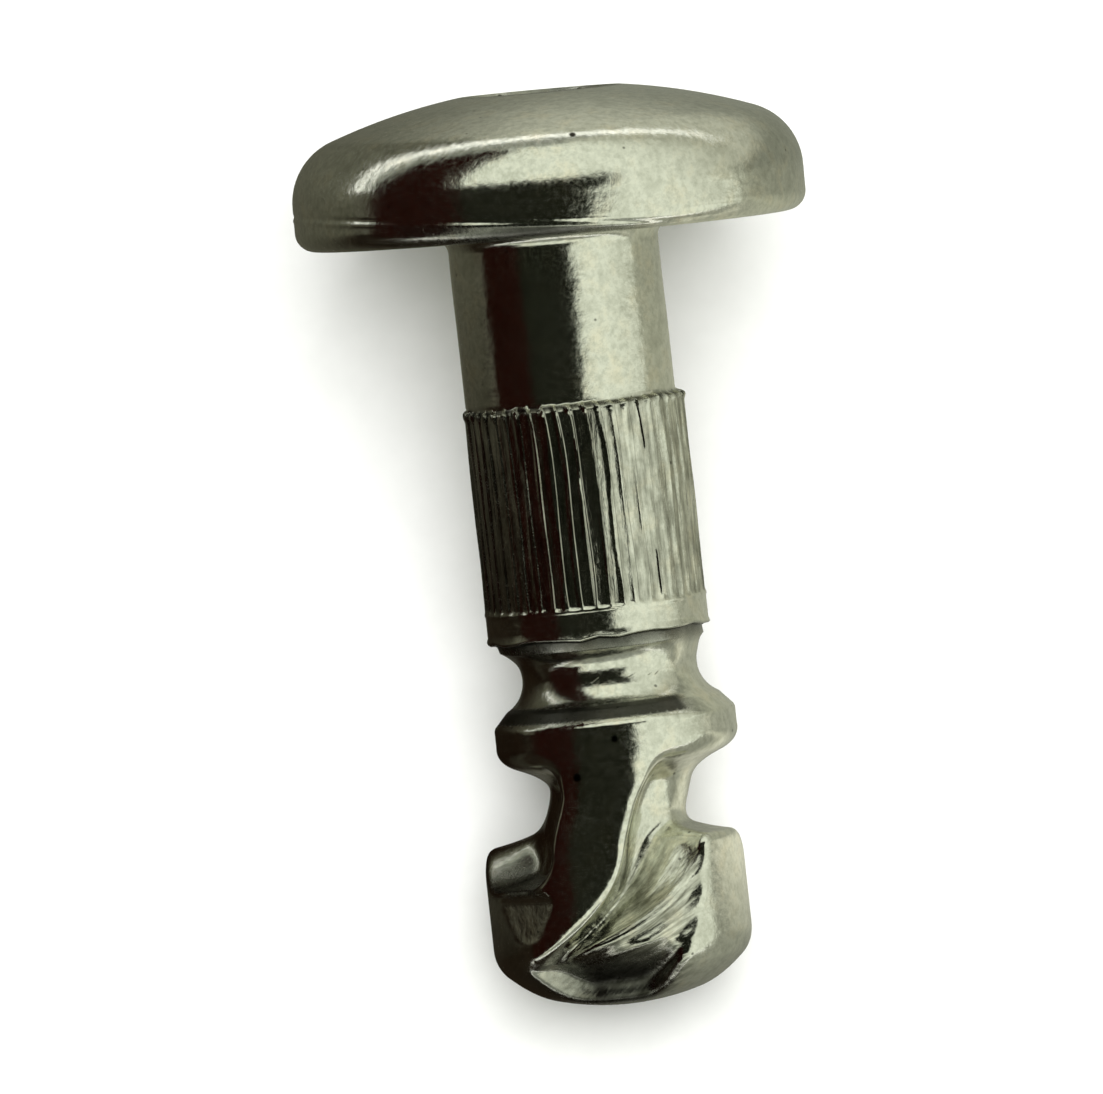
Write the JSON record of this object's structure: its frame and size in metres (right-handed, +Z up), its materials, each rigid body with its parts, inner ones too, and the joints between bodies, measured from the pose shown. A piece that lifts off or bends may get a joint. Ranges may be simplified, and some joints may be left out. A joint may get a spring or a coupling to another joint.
{
  "type": "quarter-turn fastener stud",
  "caption": "Plated steel quarter-turn stud with a domed head, knurled shank, retaining neck and a cam end whose curved slots lock onto a crosswise catch when turned.",
  "frame": {"origin": "on the surface that the stud lies on, under the middle of its length and width", "axes": "+Z up, +Y along the lying stud towards its head, +X to the right seen from the tail; the shank climbs 10.5 degrees towards the head"},
  "size_m": [0.0146, 0.0262, 0.0145],
  "materials": {
    "plated_steel": "bright plated, with fine grain and forging marks"
  },
  "bodies": {
    "root": {"stud": "plated_steel"}
  },
  "joints": []
}
